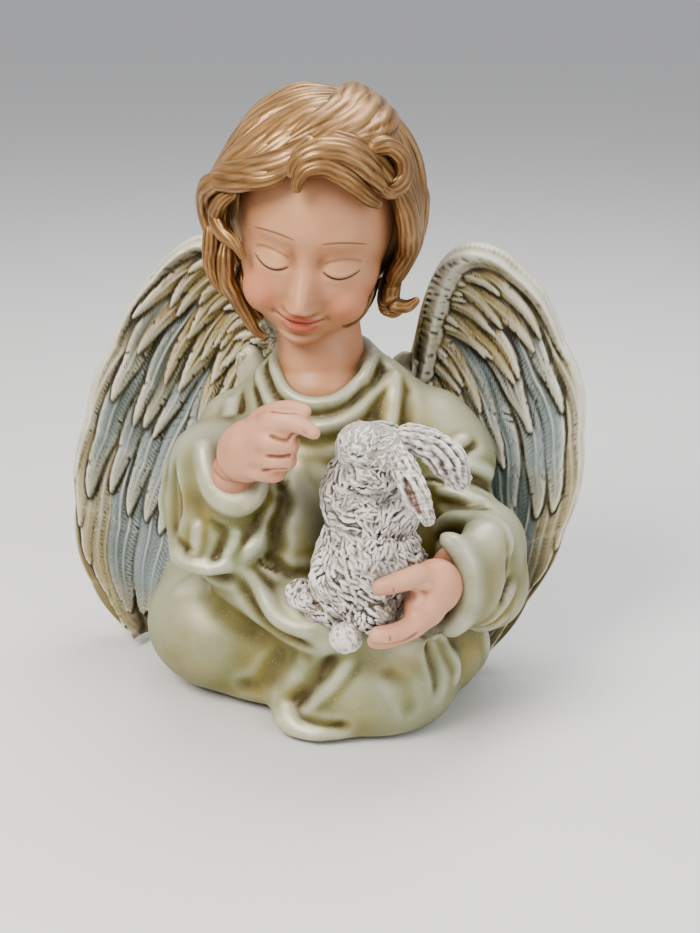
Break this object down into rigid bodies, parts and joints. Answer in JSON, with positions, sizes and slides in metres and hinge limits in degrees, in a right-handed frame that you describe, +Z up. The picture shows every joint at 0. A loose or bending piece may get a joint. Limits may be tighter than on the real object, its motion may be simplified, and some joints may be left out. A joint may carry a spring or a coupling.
{
  "type": "angel figurine",
  "caption": "Kneeling child angel figurine in a long robe, with folded feathered wings, holding a rabbit on the lap; stands on a flat felt base.",
  "frame": {"origin": "on the table under the middle of the bounding box", "axes": "+Z up; the figure faces -Y; +X to the figure's own left"},
  "size_m": [0.192, 0.118, 0.2112],
  "materials": {
    "robe_resin": "pearl sage-green and gold paint on cast resin, satin",
    "skin_resin": "matte flesh paint with blushed cheeks and knuckles",
    "hair_resin": "golden brown paint with a metallic sheen, dark wash in the strands",
    "wing_resin": "cream and pale blue paint with gold edges and a dark wash in the feathers",
    "fur_resin": "dry-brushed white over a brown wash, matte",
    "dowel_steel": "bare steel rod",
    "base_felt": "pressed felt"
  },
  "bodies": {
    "root": {"robe_body": "robe_resin", "head": "skin_resin", "hair": "hair_resin", "right_wing": "wing_resin", "left_wing": "wing_resin", "right_hand": "skin_resin", "left_hand": "skin_resin", "rabbit": "fur_resin", "neck_dowel": "dowel_steel", "right_wrist_dowel": "dowel_steel", "left_wrist_dowel": "dowel_steel", "rabbit_dowel": "dowel_steel", "right_wing_upper_dowel": "dowel_steel", "right_wing_lower_dowel": "dowel_steel", "left_wing_upper_dowel": "dowel_steel", "left_wing_lower_dowel": "dowel_steel", "felt_pad": "base_felt"}
  },
  "joints": []
}
